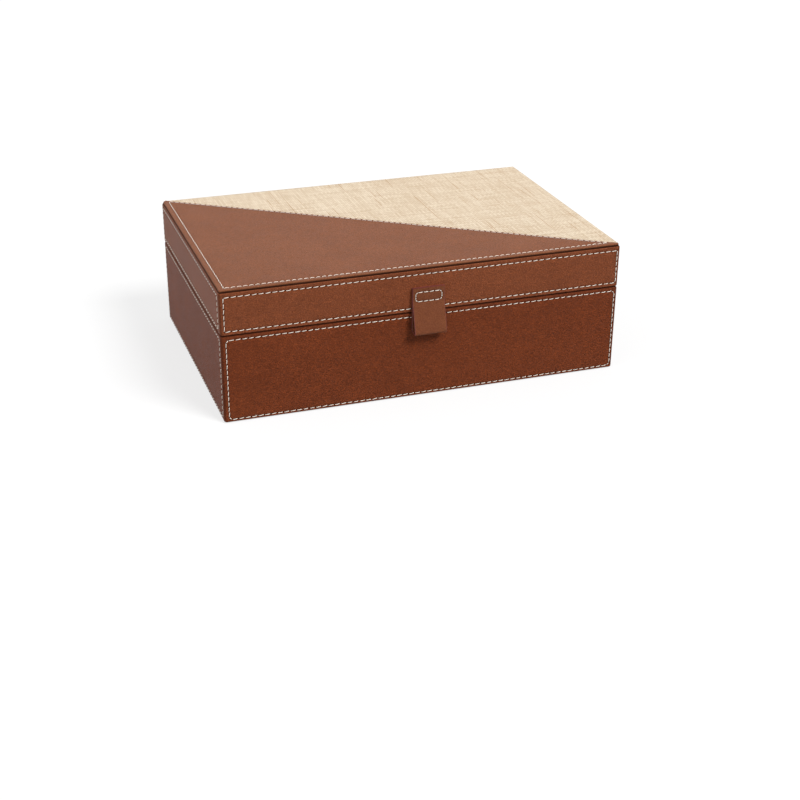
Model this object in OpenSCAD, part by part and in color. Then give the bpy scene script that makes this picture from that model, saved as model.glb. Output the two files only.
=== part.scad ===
// Hinged stationery box: a wooden box and lid, each wrapped in a stitched leather band,
// with a two-part leather and raffia top, a folded leather pull tab and two brass stop hinges.
// Millimetres. X runs along the front, Y to the back, Z up; the origin is the middle of the rest face.

/* [Box] */
// Width of the closed box along the front
box_w = 304.8; // [240:0.2:400]
// Depth of the closed box from front to back
box_d = 203.2; // [160:0.2:280]
// Height of the closed box
box_h = 101.6; // [90:0.2:140]
// Height of the line where the lid leaves the box
parting_z = 67.4; // [60:0.1:72]
// Gap between the two rims when the lid is shut
rim_gap = 0.3; // [0.2:0.05:0.6]

/* [Boards] */
// Thickness of the wall boards
wall_t = 8; // [8:0.5:12]
// Thickness of the floor board
floor_t = 6; // [4:0.5:10]
// Thickness of the lid's top board
top_t = 6; // [4:0.5:8]

/* [Leather and raffia] */
// Thickness of the leather band round the sides, with its padding
band_t = 2; // [1.6:0.1:2.4]
// Rounding of the band's long edges
band_edge_r = 1.3; // [0.8:0.1:1.5]
// Thickness of the leather turned over the rims
rim_t = 1; // [0.6:0.1:1.4]
// Thickness of the leather turned down inside the rims, and of the strip that backs the groove
hem_t = 0.6; // [0.4:0.1:1]
// Gap where the ends of the band meet at the back
seam_gap = 0.4; // [0.3:0.1:0.8]
// Thickness of the leather half of the top
top_leather_t = 1.4; // [1.2:0.1:2]
// Thickness of the raffia half of the top, with its card
top_raffia_t = 0.8; // [0.5:0.1:1.1]
// How far the top covering stays inside the outer faces
top_inset = 0.5; // [0.2:0.1:0.8]
// Height of the shadow groove between the top covering and the band
groove_h = 0.9; // [0.6:0.1:1.4]
// Distance from the back left corner to the leather's slanting edge, along the back
slant_back = 2; // [0.5:0.5:30]
// Distance from the front right corner to the slanting edge, along the right side
slant_front = 2; // [0.5:0.5:30]
// Thickness of the cover under the box
underside_t = 1.2; // [0.8:0.1:2]

/* [Lining] */
// Thickness of the lining on the walls
lining_t = 1.4; // [1:0.1:2.5]
// Thickness of the pads on the floor and under the lid
pad_t = 1.6; // [1:0.1:4]
// Distance from the rim to the edge of the wall lining
lining_drop = 2.5; // [1.5:0.5:6]

/* [Pull tab] */
// Width of the pull tab
tab_w = 24.5; // [18:0.5:40]
// Thickness of the tab's leather
tab_t = 1.3; // [1:0.1:1.4]
// Height of the tab's top edge above the parting line
tab_top = 19.2; // [18:0.2:24]
// Length of the sewn end
tab_sewn = 11.4; // [10:0.2:14]
// Height of the lowest point of the loop below the parting line
tab_drop = 16; // [14:0.5:24]
// Outer radius of the fold at the bottom of the loop
tab_fold_r = 4.3; // [4.2:0.1:6]
// Gap between the loop and the front of the box
tab_clear = 0.8; // [0.5:0.1:1.5]

/* [Hinges] */
// Length of each hinge
hinge_l = 38; // [30:1:60]
// Distance from the middle of the box to the middle of each hinge
hinge_x = 92; // [60:1:110]
// Radius of the knuckles
knuckle_r = 2.3; // [2.2:0.1:2.6]
// Radius of the pin
pin_r = 1; // [0.8:0.1:1.2]
// Thickness of the leaves
leaf_t = 1.5; // [1.2:0.1:1.8]
// Width of the leaves from the pin's axis inwards
leaf_w = 9.7; // [9:0.1:9.8]
// How far the lid opens before the heels of the hinges meet, in degrees
open_angle = 95; // [90:1:100]

/* [Hidden] */
$fn = 48;

leather_color = [0.49, 0.27, 0.17];
tab_color = [0.52, 0.30, 0.20];
raffia_color = [0.90, 0.83, 0.70];
board_color = [0.70, 0.58, 0.42];
lining_color = [0.62, 0.52, 0.42];
brass_color = [0.78, 0.62, 0.30];

eps = 0.01;
// Outer size of the wooden boxes, inside the leather
wood_w = box_w - 2 * band_t;
wood_d = box_d - 2 * band_t;
// Inner size of the wooden boxes
inner_w = wood_w - 2 * wall_t;
inner_d = wood_d - 2 * wall_t;
// Levels of the base
base_rim_z = parting_z - rim_gap / 2;
base_board_top = base_rim_z - rim_t;
base_band_z = underside_t / 2;
floor_top = underside_t + floor_t;
// Levels of the lid
lid_rim_z = parting_z + rim_gap / 2;
lid_board_bottom = lid_rim_z + rim_t;
lid_board_top = box_h - top_leather_t;
rail_top = lid_board_top - top_t;
band_top_z = lid_board_top - groove_h;
// Levels of the wall linings
base_lining_z0 = floor_top + pad_t;
base_lining_z1 = base_board_top - lining_drop;
lid_lining_z0 = lid_board_bottom + lining_drop;
lid_lining_z1 = rail_top - pad_t;
// Rounding of the top covering: its corners, its upper edge and its lower edge
top_corner_r = 1.6;
top_edge_r = 1;
top_under_r = 0.2;
top_edge_flat = 0.1;
// Rounding of the cover under the box, and how far it stays inside the boards
underside_r = 3;
underside_inset = 1;
// Hinges: the axis runs along the back face at the parting line
hinge_y = box_d / 2;
bore_r = pin_r + 0.05;
heel_in = knuckle_r + 0.2;
heel_out = knuckle_r + 1.4;
heel_angle = open_angle / 2 + 1.5;
heel_root = 4;
pocket_r = heel_out + 0.15;
mortise_gap = 0.1;
web_lap = 0.1;
knuckles = 5;
knuckle_gap = 0.15;
knuckle_l = (hinge_l - (knuckles - 1) * knuckle_gap) / knuckles;
pin_head_r = 1.7;
pin_head_l = 0.8;
pin_head_taper = 0.5;
pin_end_gap = 0.4;
pocket_l = hinge_l + 2 * (pin_head_l + pin_end_gap);
screw_y = hinge_y - 6.6;
screw_x = [-13, 0, 13];
screw_head_r = 2.2;
screw_r = 1.2;
screw_head_h = 1;
screw_l = 9;
screw_tip_l = 1.5;
screw_tip_r = 0.3;
slot_w = 0.6;
slot_depth = 0.5;
pilot_r = screw_r + 0.05;
// Pull tab: the crease is the axis of the loop's bend
tab_edge_r = 0.5;
crease_r = tab_t;
crease_gap = 0.3;
crease_min_r = 0.05;
crease_z = parting_z + tab_top - tab_sewn - crease_r - crease_gap;
crease_y = -box_d / 2 - crease_r - crease_gap;
fold_y = -box_d / 2 - tab_clear - tab_fold_r;
fold_z = parting_z - tab_drop + tab_fold_r;

// ---------- shared forms ----------

// Sweeps a profile round a w by d rectangle: its x is the distance outwards, its y is the height.
module around(w, d) {
    for (k = [0:3]) {
        run = (k % 2 == 0) ? w : d;
        reach = (k % 2 == 0) ? d : w;
        rotate([0, 0, 90 * k]) translate([run / 2, -reach / 2, 0]) {
            rotate([90, 0, -90]) linear_extrude(run) children();
            rotate([0, 0, -90]) rotate_extrude(angle = 90) children();
        }
    }
}

// Section of a strip t thick from z0 to z1, with its outer corners rounded to r0 below and r1 above
module strip_section(t, z0, z1, r0, r1) {
    translate([0, z0 + r0]) square([t, z1 - z0 - r0 - r1]);
    translate([0, z0]) square([t - r0, r0]);
    translate([0, z1 - r1]) square([t - r1, r1]);
    translate([t - r0, z0 + r0]) intersection() {
        circle(r0);
        translate([0, -r0]) square(r0);
    }
    translate([t - r1, z1 - r1]) intersection() {
        circle(r1);
        square(r1);
    }
}

// A w by d block from z0 to z1, standing in the middle of the box
module block(w, d, z0, z1) {
    translate([-w / 2, -d / 2, z0]) cube([w, d, z1 - z0]);
}

// A flat frame between two rectangles
module frame(w_out, d_out, w_in, d_in, z0, z1) {
    difference() {
        block(w_out, d_out, z0, z1);
        block(w_in, d_in, z0 - 1, z1 + 1);
    }
}

// Places a piece at both hinges
module at_hinges() {
    for (side = [-1, 1]) translate([side * hinge_x, hinge_y, parting_z]) children();
}

// Room for a hinge: the round pocket for its heels and the shallow mortise for its leaf
module hinge_pockets(up) {
    at_hinges() {
        translate([-pocket_l / 2, 0, 0]) rotate([0, 90, 0]) cylinder(r = pocket_r, h = pocket_l);
        translate([-hinge_l / 2 - mortise_gap, -leaf_w - mortise_gap, up > 0 ? 0 : -rim_gap / 2 - leaf_t])
            cube([hinge_l + 2 * mortise_gap, leaf_w, rim_gap / 2 + leaf_t]);
    }
}

// Pilot holes for the screws of both hinges, running up or down from the rims
module pilot_holes(up) {
    for (side = [-1, 1]) for (x = screw_x)
        translate([side * hinge_x + x, screw_y, parting_z]) mirror([0, 0, up > 0 ? 0 : 1])
            cylinder(r = pilot_r, h = screw_l + 1);
}

// The leather wrapped round one of the two boxes, turned over its rim and down to the edge of the lining
module leather_band(z0, z1, rim0, rim1, hem0, hem1, up) {
    difference() {
        union() {
            around(wood_w, wood_d) strip_section(band_t, z0, z1, band_edge_r, band_edge_r);
            frame(wood_w + eps, wood_d + eps, inner_w - hem_t, inner_d - hem_t, rim0, rim1);
            frame(inner_w, inner_d, inner_w - 2 * hem_t, inner_d - 2 * hem_t, hem0, hem1);
        }
        hinge_pockets(up);
        translate([-seam_gap / 2, box_d / 2 - band_t, z0 - 1]) cube([seam_gap, band_t + 1, z1 - z0 + 2]);
    }
}

// The slab that both top coverings are cut from
module top_slab(t) {
    w = box_w - 2 * (top_inset + top_corner_r);
    d = box_d - 2 * (top_inset + top_corner_r);
    z1 = lid_board_top + t;
    block(w + eps, d + eps, lid_board_top, z1);
    edge_r = min(top_edge_r, t - top_under_r - top_edge_flat);
    around(w, d) strip_section(top_corner_r, lid_board_top, z1, top_under_r, edge_r);
}

// The leather's side of the slanting line, or the raffia's side of it
module slant_side(front) {
    from = [-box_w / 2 + slant_back, box_d / 2];
    to = [box_w / 2, -box_d / 2 + slant_front];
    run = to - from;
    spare = 40;
    turn = atan2(run[1], run[0]);
    translate([from[0], from[1], rail_top]) rotate([0, 0, turn])
        translate([-spare, front ? -box_w : 0, 0]) cube([norm(run) + 2 * spare, box_w, box_h]);
}

// ---------- wooden box ----------

module base_floor_board() {
    color(board_color) block(inner_w, inner_d, underside_t, floor_top);
}

module base_front_board() {
    color(board_color) translate([-wood_w / 2, -wood_d / 2, underside_t])
        cube([wood_w, wall_t, base_board_top - underside_t]);
}

module base_back_board() {
    color(board_color) difference() {
        translate([-wood_w / 2, inner_d / 2, underside_t])
            cube([wood_w, wall_t, base_board_top - underside_t]);
        hinge_pockets(-1);
        pilot_holes(-1);
    }
}

module base_side_board(side) {
    x = (side < 0) ? -wood_w / 2 : inner_w / 2;
    color(board_color) translate([x, -inner_d / 2, underside_t])
        cube([wall_t, inner_d, base_board_top - underside_t]);
}

module base_leather_band() {
    color(leather_color)
        leather_band(base_band_z, base_rim_z, base_board_top, base_rim_z, base_lining_z1, base_rim_z, -1);
}

module underside_cover() {
    w = wood_w - 2 * (underside_inset + underside_r);
    d = wood_d - 2 * (underside_inset + underside_r);
    color(lining_color) linear_extrude(underside_t) {
        square([w + 2 * underside_r, d], center = true);
        square([w, d + 2 * underside_r], center = true);
        for (x = [-w / 2, w / 2]) for (y = [-d / 2, d / 2]) translate([x, y]) circle(underside_r);
    }
}

module base_floor_pad() {
    color(lining_color) block(inner_w, inner_d, floor_top, floor_top + pad_t);
}

// Lining on the front or back wall, over its full length
module long_lining(side, z0, z1) {
    y = (side < 0) ? -inner_d / 2 : inner_d / 2 - lining_t;
    color(lining_color) translate([-inner_w / 2, y, z0]) cube([inner_w, lining_t, z1 - z0]);
}

// Lining on the left or right wall, between the long ones
module short_lining(side, z0, z1) {
    x = (side < 0) ? -inner_w / 2 : inner_w / 2 - lining_t;
    color(lining_color) translate([x, -inner_d / 2 + lining_t, z0])
        cube([lining_t, inner_d - 2 * lining_t, z1 - z0]);
}

// ---------- lid ----------

module lid_top_board() {
    color(board_color) block(wood_w, wood_d, rail_top, lid_board_top);
}

module lid_front_rail() {
    color(board_color) translate([-wood_w / 2, -wood_d / 2, lid_board_bottom])
        cube([wood_w, wall_t, rail_top - lid_board_bottom]);
}

module lid_back_rail() {
    color(board_color) difference() {
        translate([-wood_w / 2, inner_d / 2, lid_board_bottom])
            cube([wood_w, wall_t, rail_top - lid_board_bottom]);
        hinge_pockets(1);
        pilot_holes(1);
    }
}

module lid_side_rail(side) {
    x = (side < 0) ? -wood_w / 2 : inner_w / 2;
    color(board_color) translate([x, -inner_d / 2, lid_board_bottom])
        cube([wall_t, inner_d, rail_top - lid_board_bottom]);
}

module lid_leather_band() {
    color(leather_color) {
        leather_band(lid_rim_z, band_top_z, lid_rim_z, lid_board_bottom, lid_rim_z, lid_lining_z0, 1);
        around(wood_w, wood_d) translate([0, rail_top]) square([hem_t, lid_board_top - rail_top]);
    }
}

module top_leather_panel() {
    color(leather_color) intersection() {
        top_slab(top_leather_t);
        slant_side(true);
    }
}

module top_raffia_panel() {
    color(raffia_color) intersection() {
        top_slab(top_raffia_t);
        slant_side(false);
    }
}

module lid_pad() {
    color(lining_color) block(inner_w, inner_d, rail_top - pad_t, rail_top);
}

// ---------- hinges ----------

// A wedge of the plane round the pin, from angle a0 to a1, out to radius r
module wedge(a0, a1, r) {
    steps = 6;
    rim = [for (i = [0:steps]) let (a = a0 + (a1 - a0) * i / steps) 2 * r * [cos(a), sin(a)]];
    polygon(concat([[0, 0]], rim));
}

// Section of a leaf with its heel, which cradles the other leaf's knuckles and stops the lid
module leaf_section() {
    difference() {
        translate([-leaf_w, -rim_gap / 2 - leaf_t]) square([leaf_w - knuckle_r, leaf_t]);
        circle(heel_in);
    }
    intersection() {
        difference() {
            circle(heel_out);
            circle(heel_in);
        }
        wedge(180 + heel_root, 360 - heel_angle, heel_out);
    }
}

// Joins a leaf's own knuckle to its heel
module knuckle_web() {
    intersection() {
        difference() {
            circle(heel_in + web_lap);
            circle(knuckle_r - web_lap);
        }
        wedge(180 + heel_root, 360 - heel_angle, heel_out);
    }
}

// Turns a section in the plane of Y and Z into a solid along X, from x0
module along_x(x0, length) {
    translate([x0, 0, 0]) rotate([90, 0, 90]) linear_extrude(length) children();
}

// The lower leaf of a hinge, about the pin's axis, with every second knuckle from the first
module lower_leaf(first) {
    difference() {
        union() {
            along_x(-hinge_l / 2, hinge_l) leaf_section();
            for (k = [first:2:knuckles - 1]) {
                x0 = -hinge_l / 2 + k * (knuckle_l + knuckle_gap);
                along_x(x0, knuckle_l) knuckle_web();
                translate([x0, 0, 0]) rotate([0, 90, 0]) cylinder(r = knuckle_r, h = knuckle_l);
            }
        }
        translate([-hinge_l / 2 - 1, 0, 0]) rotate([0, 90, 0]) cylinder(r = bore_r, h = hinge_l + 2);
        for (x = screw_x) translate([x, screw_y - hinge_y, -rim_gap / 2]) {
            translate([0, 0, -screw_head_h]) cylinder(r1 = screw_r, r2 = screw_head_r, h = screw_head_h);
            translate([0, 0, -leaf_t - 1]) cylinder(r = pilot_r, h = leaf_t + 1 - screw_head_h + eps);
            cylinder(r = screw_head_r, h = 1);
        }
    }
}

module hinge_base_leaf(side) {
    color(brass_color) translate([side * hinge_x, hinge_y, parting_z]) lower_leaf(0);
}

module hinge_lid_leaf(side) {
    color(brass_color) translate([side * hinge_x, hinge_y, parting_z]) mirror([0, 0, 1]) lower_leaf(1);
}

module hinge_pin(side) {
    color(brass_color) translate([side * hinge_x, hinge_y, parting_z]) rotate([0, 90, 0]) {
        translate([0, 0, -hinge_l / 2]) cylinder(r = pin_r, h = hinge_l);
        for (end = [-1, 1]) mirror([0, 0, end < 0 ? 1 : 0]) translate([0, 0, hinge_l / 2])
            cylinder(r1 = pin_head_r, r2 = pin_head_r - pin_head_taper, h = pin_head_l);
    }
}

// A countersunk wood screw, its head at the origin and its shank pointing down
module wood_screw() {
    difference() {
        union() {
            translate([0, 0, -screw_head_h]) cylinder(r1 = screw_r, r2 = screw_head_r, h = screw_head_h);
            translate([0, 0, -screw_l + screw_tip_l])
                cylinder(r = screw_r, h = screw_l - screw_tip_l - screw_head_h);
            translate([0, 0, -screw_l]) cylinder(r1 = screw_tip_r, r2 = screw_r, h = screw_tip_l);
        }
        translate([-screw_head_r, -slot_w / 2, -slot_depth])
            cube([2 * screw_head_r, slot_w, slot_depth + 1]);
    }
}

module base_hinge_screws() {
    color(brass_color) for (side = [-1, 1]) for (x = screw_x)
        translate([side * hinge_x + x, screw_y, base_rim_z]) wood_screw();
}

module lid_hinge_screws() {
    color(brass_color) for (side = [-1, 1]) for (x = screw_x)
        translate([side * hinge_x + x, screw_y, lid_rim_z]) mirror([0, 0, 1]) wood_screw();
}

// ---------- pull tab ----------

// The flat end, both layers of leather sewn to the lid
module pull_tab_end() {
    r = tab_edge_r;
    color(tab_color) translate([-tab_w / 2, -box_d / 2 - 2 * tab_t, parting_z + tab_top - tab_sewn])
        difference() {
            cube([tab_w, 2 * tab_t, tab_sewn]);
            for (x = [0, tab_w]) translate([x, 0, -1]) rotate([0, 0, x > 0 ? 90 : 0]) difference() {
                translate([-1, -1, 0]) cube([r + 1, r + 1, tab_sewn + 2]);
                translate([r, r, 0]) cylinder(r = r, h = tab_sewn + 2);
            }
        }
}

// Outline of the loop's side, a fold below and a crease above, with its skin taken in by t
module loop_outline(t) {
    hull() {
        translate([fold_y, fold_z]) circle(tab_fold_r - t);
        translate([crease_y, crease_z]) circle(max(crease_r - t, crease_min_r));
    }
}

// The free end of the tab: one strip folded back on itself
module pull_tab_loop() {
    color(tab_color) along_x(-tab_w / 2, tab_w) difference() {
        loop_outline(0);
        loop_outline(tab_t);
    }
}

base_floor_board();
base_front_board();
base_back_board();
base_side_board(-1);  // base_left_board
base_side_board(1);  // base_right_board
base_leather_band();
underside_cover();
base_floor_pad();
long_lining(-1, base_lining_z0, base_lining_z1);  // base_front_lining
long_lining(1, base_lining_z0, base_lining_z1);  // base_back_lining
short_lining(-1, base_lining_z0, base_lining_z1);  // base_left_lining
short_lining(1, base_lining_z0, base_lining_z1);  // base_right_lining
hinge_base_leaf(-1);  // left_hinge_base_leaf
hinge_base_leaf(1);  // right_hinge_base_leaf
hinge_pin(-1);  // left_hinge_pin
hinge_pin(1);  // right_hinge_pin
base_hinge_screws();
lid_top_board();
lid_front_rail();
lid_back_rail();
lid_side_rail(-1);  // lid_left_rail
lid_side_rail(1);  // lid_right_rail
lid_leather_band();
top_leather_panel();
top_raffia_panel();
lid_pad();
long_lining(-1, lid_lining_z0, lid_lining_z1);  // lid_front_lining
long_lining(1, lid_lining_z0, lid_lining_z1);  // lid_back_lining
short_lining(-1, lid_lining_z0, lid_lining_z1);  // lid_left_lining
short_lining(1, lid_lining_z0, lid_lining_z1);  // lid_right_lining
hinge_lid_leaf(-1);  // left_hinge_lid_leaf
hinge_lid_leaf(1);  // right_hinge_lid_leaf
lid_hinge_screws();
pull_tab_end();
pull_tab_loop();
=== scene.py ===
import math
from collections import namedtuple

import bmesh
import bpy
import numpy as np
from mathutils import Matrix, Vector
from mathutils.geometry import delaunay_2d_cdt


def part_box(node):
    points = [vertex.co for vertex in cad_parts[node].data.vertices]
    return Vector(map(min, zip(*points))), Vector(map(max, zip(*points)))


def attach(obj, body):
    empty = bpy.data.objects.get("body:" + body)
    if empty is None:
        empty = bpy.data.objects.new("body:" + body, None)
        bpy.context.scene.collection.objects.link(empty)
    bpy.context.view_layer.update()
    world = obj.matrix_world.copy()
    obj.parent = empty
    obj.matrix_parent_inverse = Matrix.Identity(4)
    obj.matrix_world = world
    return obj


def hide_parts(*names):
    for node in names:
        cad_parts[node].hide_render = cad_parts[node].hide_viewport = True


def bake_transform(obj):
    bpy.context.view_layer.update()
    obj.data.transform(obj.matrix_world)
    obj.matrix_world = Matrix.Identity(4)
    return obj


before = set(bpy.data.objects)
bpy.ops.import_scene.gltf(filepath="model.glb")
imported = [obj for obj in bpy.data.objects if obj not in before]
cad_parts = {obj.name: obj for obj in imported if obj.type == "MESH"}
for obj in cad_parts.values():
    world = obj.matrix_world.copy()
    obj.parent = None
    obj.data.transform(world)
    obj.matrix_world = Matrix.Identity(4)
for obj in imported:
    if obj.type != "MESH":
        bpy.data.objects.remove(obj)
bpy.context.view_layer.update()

# The dressed stationery box: a wooden box and lid in stitched leather bands, a top of leather and woven
# raffia, a folded pull tab, padded suede linings and brass stop hinges. Sizes are in millimetres.
MM = 0.001
X, Y, Z = Vector((1, 0, 0)), Vector((0, 1, 0)), Vector((0, 0, 1))


def cad_box(node):
    """Lowest and highest corner of a node of the frame, in millimetres."""
    low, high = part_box(node)
    return Vector(low) / MM, Vector(high) / MM


# ---------- sizes taken from the frame ----------

BASE_LOW, BASE_HIGH = cad_box("base_leather_band")
LID_BOTTOM = cad_box("lid_leather_band")[0].z
BOARD_LOW, BOARD_HIGH = cad_box("base_front_board")
RAIL_BOTTOM = cad_box("lid_front_rail")[0].z
BOARD_TOP = cad_box("lid_top_board")[1].z
COVER_LOW, COVER_HIGH = cad_box("top_leather_panel")
RAFFIA_LOW, RAFFIA_HIGH = cad_box("top_raffia_panel")
TAB_LOW, TAB_HIGH = cad_box("pull_tab_end")
LOOP_LOW, LOOP_HIGH = cad_box("pull_tab_loop")
PIN_LOW, PIN_HIGH = cad_box("right_hinge_pin")

HALF_W = BASE_HIGH.x
HALF_D = BASE_HIGH.y
BAND = HALF_W - BOARD_HIGH.x
WALL = BOARD_HIGH.y - BOARD_LOW.y
PARTING = (PIN_LOW.z + PIN_HIGH.z) / 2
LINING_TOP = cad_box("base_front_lining")[1].z
LINING_BOTTOM = cad_box("lid_front_lining")[0].z
HINGE_X = (PIN_LOW.x + PIN_HIGH.x) / 2

# Leather work: the round of the rims, the hem turned down inside and the round of its fold, the groove
# under the top with the rounded ledge below it, and the gap between the two ends of a band
EDGE_R = 1.3
HEM = 0.6
HEM_R = 0.45
INSIDE = -WALL - HEM
GROOVE = 0.9
LEDGE_R = 0.8
SEAM = 0.4
# The round pockets of the hinges and the mortises of their leaves
POCKET_R = 3.85
POCKET_L = 40.4
POCKET_SIDES = 48
MORTISE_L = 38.2
MORTISE_W = 9.8
MORTISE_T = 1.65
# The top leather's slanting edge: where it starts and ends, its row of stitches and the raffia's tuck
# under it; then the rows on the left and the front, and the two large corners
SLANT_BACK = 2.0
SLANT_FRONT = 2.0
SLANT_ROW = 2.2
TUCK = 0.45
TOP_COLUMN = -147.4
TOP_ROW = -96.6
FRONT_R = 3.0
BACK_R = 4.0
# Linings: the roll of their edges, their crown and how full the padding is
LINING_ROLL = 0.7
PAD_ROLL = 0.9
CROWN = 0.3
# Pull tab: how far its fold stands out, how far outside the plane between its layers the crease's axis
# lies, the round of its cut edges and the bends of the strip
TAB_REACH = 9.3
CREASE_GAP = 0.3
TAB_EDGE_R = 0.38
TAB_BENDS = (6.0, 1.7, 2.4, 4.0, 3.0)

# Sewing: the thread and its stitches, how far from it the leather feels it, the points of one stitch and
# the depth of its middle line below the face of a band, the top and the tab
THREAD_R = 0.26
STITCH = 3.7
LEAN = math.radians(6)
REACH = 3.0
TUBE_RINGS = 9
TUBE_SIDES = 8
BAND_SINK = 0.22
TOP_SINK = 0.26
TAB_SINK = 0.2
# Distances from a row of stitches, and from the seam, at which the leather gets points of its own, and
# how far from a row a panel's plain grid of points begins
NEAR_ROW = (-1.6, -1.1, -0.7, -0.35, 0, 0.35, 0.7, 1.1, 1.6)
NEAR_SEAM = (0.12, 0.3, 0.6)
ROW_CLEAR = 2.4

# Spacing of the raffia's strands along X and along Y
RAFFIA_PITCH = (1.7, 1.9)
# Plain level of the light from all round
AMBIENT = 0.46


# ---------- shaders ----------

class Field:
    """A value that varies over a surface. Arithmetic on it adds the Math nodes."""

    def __init__(self, shading, socket):
        self.shading = shading
        self.socket = socket

    def math(self, operation, *others):
        values = dict(enumerate((self,) + others))
        return self.shading.node("ShaderNodeMath", {"operation": operation}, values)

    def __add__(self, other):
        return self.math("ADD", other)

    def __sub__(self, other):
        return self.math("SUBTRACT", other)

    def __rsub__(self, other):
        return self.shading.node("ShaderNodeMath", {"operation": "SUBTRACT"}, {0: other, 1: self})

    def __mul__(self, other):
        return self.math("MULTIPLY", other)

    def __truediv__(self, other):
        return self.math("DIVIDE", other)

    __radd__ = __add__
    __rmul__ = __mul__

    def fade(self, start, end):
        """0 at start and 1 at end, smooth between; start may be the larger."""
        settings = {"interpolation_type": "SMOOTHSTEP"}
        low, high = min(start, end), max(start, end)
        up = self.shading.node("ShaderNodeMapRange", settings, {"Value": self, 1: low, 2: high})
        return up if start < end else 1 - up


class Shading:
    """The nodes that give a surface or the surroundings their looks."""

    def __init__(self, tree):
        self.tree = tree

    def node(self, kind, settings, values, output=0):
        """Any node, from its type, its settings and the values or links of its sockets."""
        made = self.tree.nodes.new(kind)
        for key, value in settings.items():
            setattr(made, key, value)
        for key, value in values.items():
            self.feed(made.inputs[key], value)
        return Field(self, made.outputs[output])

    def feed(self, socket, value):
        if isinstance(value, Field):
            self.tree.links.new(value.socket, socket)
        elif socket.type == "RGBA":
            socket.default_value = (*value, 1)
        else:
            socket.default_value = value

    def seen(self):
        """1 to the camera, in reflections and through glass, 0 for the light on surfaces."""
        seen = self.node("ShaderNodeLightPath", {}, {}, "Is Camera Ray")
        for other in ("Is Glossy Ray", "Is Transmission Ray"):
            seen = seen.math("MAXIMUM", self.node("ShaderNodeLightPath", {}, {}, other))
        return seen


class Finish(Shading):
    """A material and the nodes of its shader."""

    def __init__(self, name):
        self.material = bpy.data.materials.new(name)
        self.material.use_nodes = True
        super().__init__(self.material.node_tree)
        self.shader = self.tree.nodes["Principled BSDF"]

    def place(self, stretch=(1, 1, 1)):
        """Position on the object in millimetres, with each axis stretched."""
        here = self.node("ShaderNodeTexCoord", {}, {}, "Object")
        scale = tuple(s / MM for s in stretch)
        return self.node("ShaderNodeVectorMath", {"operation": "MULTIPLY"}, {0: here, 1: scale})

    def noise(self, place, size, detail=2.0, rough=0.5, warp=0.0):
        values = {"Vector": place, "Scale": 1 / size, "Detail": detail, "Roughness": rough,
                  "Distortion": warp}
        return self.node("ShaderNodeTexNoise", {}, values)

    def cracks(self, place, size):
        """Distance to the nearest border between cells of this size."""
        settings = {"feature": "DISTANCE_TO_EDGE"}
        values = {"Vector": place, "Scale": 1 / size}
        return self.node("ShaderNodeTexVoronoi", settings, values, "Distance")

    def attribute(self, name):
        return self.node("ShaderNodeAttribute", {"attribute_name": name}, {}, "Fac")

    def mix(self, factor, first, second):
        return self.node("ShaderNodeMix", {"data_type": "RGBA"}, {0: factor, 6: first, 7: second}, 2)

    def axis(self, vector, name):
        return self.node("ShaderNodeSeparateXYZ", {}, {0: vector}, name)

    def strand_tone(self, strand, along):
        """Tone from 0 to 1 of one strand, from its number and the place along it."""
        spot = self.node("ShaderNodeCombineXYZ", {}, {0: strand, 1: along})
        return self.noise(spot, 1.0, 2, 0.6)

    def bump(self, height, depth):
        """Normal from a height from 0 to 1 that stands for depth millimetres."""
        return self.node("ShaderNodeBump", {}, {"Height": height, "Distance": depth * MM})

    def set(self, **values):
        """Sets or links the sockets of the surface shader itself."""
        for name, value in values.items():
            self.feed(self.shader.inputs[name.replace("_", " ")], value)
        return self.material


def scaled(colour, share):
    return tuple(share * c for c in colour)


def sewn_marks(finish):
    """Masks of the channel pressed by the thread and of the needle holes in it, where the leather gets
    painted shade.
    """
    apart = REACH - finish.attribute("thread_near")
    count = finish.attribute("thread_count")
    to_hole = count.math("PINGPONG", 0.5)
    channel = apart.fade(0.85, 0.3)
    hole = to_hole.fade(0.13, 0.06) * apart.fade(0.5, 0.25)
    return channel, hole


def leather(name, deep, light, pebble, creases, roughness, gloss):
    """Fine pebbled leather with short level creases and sewn channels, with painted shade in the creases,
    the channels and the needle holes, and along the groove, the parting line and the corners.
    """
    skin = Finish(name)
    place = skin.place()
    broad = skin.noise(place, 46, 3, 0.55, 0.4)
    patch = skin.noise(place, 7, 3, 0.6)
    fleck = skin.noise(place, 1.05, 2, 0.8)
    shade = skin.attribute("painted_shade")
    cloud = skin.node("ShaderNodeTexNoise", {}, {"Vector": place, "Scale": 0.7}, "Color")
    drift = skin.node("ShaderNodeVectorMath", {"operation": "SCALE"}, {0: cloud, "Scale": 0.8})
    warped = skin.node("ShaderNodeVectorMath", {"operation": "ADD"}, {0: place, 1: drift})
    scales = skin.cracks(warped, pebble).fade(0.0, 0.22)
    fold = skin.noise(skin.place((0.4, 0.4, 1.0)), 1.3, 3, 0.62, 0.6)
    line = (fold - 0.5).math("ABSOLUTE").fade(0.0, 0.06)
    channel, hole = sewn_marks(skin)
    tone = (0.20 * broad + 0.16 * patch + 0.64 * fleck).fade(0.34, 0.66)
    colour = skin.mix(tone, deep, light)
    colour = skin.mix((1 - scales) * 0.5, colour, scaled(deep, 0.5))
    # Painted shade: the level creases are darkened.
    colour = skin.mix((1 - line) * creases * 0.6, colour, scaled(deep, 0.45))
    # Painted shade in the stitch channels, and deeper in the needle holes.
    colour = skin.mix(channel * 0.40, colour, scaled(deep, 0.45))
    colour = skin.mix(hole * 0.9, colour, scaled(deep, 0.12))
    # Painted shade from the mesh's shade attribute: groove, ledge, parting line, inner hem, corners and
    # the rolled edge of the top.
    colour = skin.mix(shade, colour, scaled(deep, 0.15))
    height = scales * 0.7 + fleck * 0.4 + line * creases * 2.4 + patch * 0.5 - hole * 1.5
    rough = roughness + 0.10 * (1 - scales) + 0.12 * (patch - 0.5) + 0.45 * shade
    return skin.set(Base_Color=colour, Roughness=rough, Normal=skin.bump(height, 0.28),
                    Specular_IOR_Level=gloss)


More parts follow.
